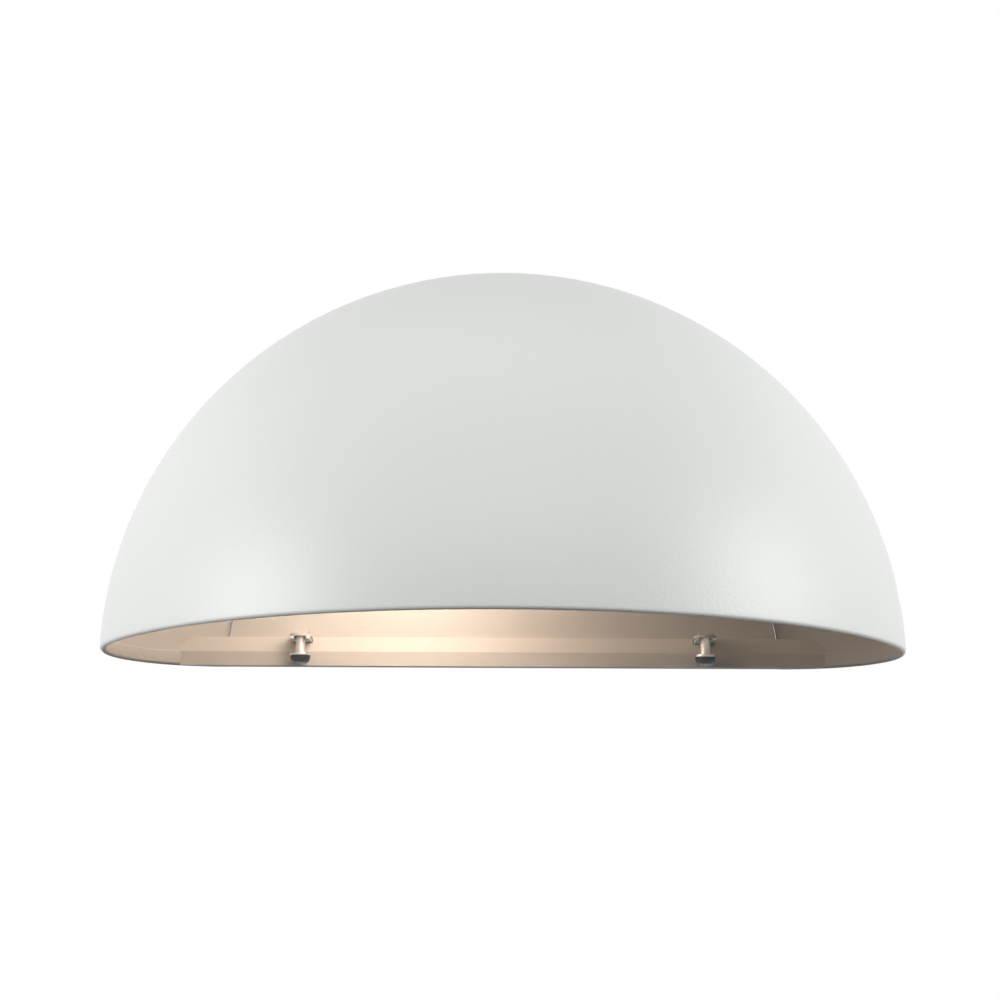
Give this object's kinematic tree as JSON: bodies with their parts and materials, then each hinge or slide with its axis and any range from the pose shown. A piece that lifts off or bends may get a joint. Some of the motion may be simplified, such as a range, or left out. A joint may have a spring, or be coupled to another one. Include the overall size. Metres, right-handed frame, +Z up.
{
  "type": "outdoor wall light",
  "caption": "Half-dome sheet-metal wall light that throws its light down, with a hung shade clamped by screws, a wall plate, a lamp holder and a bulb.",
  "frame": {"origin": "middle of the line between the two wall-screw slots, on the wall plane behind the gasket", "axes": "+X to the right along the wall seen from in front, +Y into the wall, +Z up; the shade reaches forward along -Y and opens downward"},
  "size_m": [0.2998, 0.1649, 0.145],
  "materials": {
    "shade_paint": "white powder coat, satin with a fine orange peel",
    "plate_paint": "white powder coat on pressed steel",
    "screw_black": "black oxide, satin",
    "washer_steel": "bright zinc plate",
    "zinc_steel": "zinc-plated steel",
    "foam": "closed-cell foam, matt",
    "rubber": "moulded rubber, matt",
    "glazed_ceramic": "white glaze",
    "nickel_brass": "nickel-plated brass",
    "brass": "plain brass",
    "nylon": "moulded nylon",
    "brown_pvc": "sleeved wire",
    "blue_pvc": "sleeved wire",
    "green_pvc": "sleeved wire",
    "opal_glass": "opal white, lit from within",
    "cap_metal": "bright drawn metal",
    "black_glass": "black vitreous insulator"
  },
  "bodies": {
    "base": {"wall_plate": "plate_paint", "clamp_tabs": "plate_paint", "wall_gasket": "foam", "cable_grommet": "rubber", "holder_bracket": "zinc_steel", "bracket_rivets": "zinc_steel", "holder_body": "glazed_ceramic", "holder_shell": "nickel_brass", "holder_contact": "brass", "holder_terminals": "brass", "holder_screws": "zinc_steel", "terminal_block": "nylon", "terminal_sleeves": "brass", "terminal_screws": "zinc_steel", "block_screw": "zinc_steel", "live_wire": "brown_pvc", "neutral_wire": "blue_pvc", "earth_wire": "green_pvc", "earth_tag": "brass", "earth_screw": "brass"},
    "shade": {"shade": "shade_paint", "rear_rail": "shade_paint", "weld_nuts": "shade_paint", "top_hanger": "shade_paint"},
    "left_washer": {"left_washer": "washer_steel"},
    "left_screw": {"left_screw": "screw_black"},
    "right_washer": {"right_washer": "washer_steel"},
    "right_screw": {"right_screw": "screw_black"},
    "bulb": {"bulb_glass": "opal_glass", "bulb_cap": "cap_metal", "bulb_insulator": "black_glass", "bulb_contact": "cap_metal"}
  },
  "joints": [
    {"name": "shade_off", "type": "slide", "parent": "base", "child": "shade", "axis": [0, -1, 0], "range_m": [0, 0.18]},
    {"name": "bulb_out", "type": "slide", "parent": "base", "child": "bulb", "axis": [-1, 0, 0], "range_m": [0, 0.028]},
    {"name": "left_screw_travel", "type": "slide", "parent": "shade", "child": "left_washer", "axis": [0, 0, 1], "range_m": [-0.0008, 0.0051]},
    {"name": "left_screw_turn", "type": "hinge", "parent": "left_washer", "child": "left_screw", "pos_m": [-0.078, -0.012, -0.0428], "axis": [0, 0, 1], "range_deg": [-430, 2660]},
    {"name": "right_screw_travel", "type": "slide", "parent": "shade", "child": "right_washer", "axis": [0, 0, 1], "range_m": [-0.0008, 0.0051]},
    {"name": "right_screw_turn", "type": "hinge", "parent": "right_washer", "child": "right_screw", "pos_m": [0.078, -0.012, -0.0428], "axis": [0, 0, 1], "range_deg": [-430, 2660]}
  ],
  "couplings": [
    {"joint": "left_screw_turn", "follows": "left_screw_travel", "rad_per_m": 8976},
    {"joint": "right_screw_turn", "follows": "right_screw_travel", "rad_per_m": 8976}
  ]
}
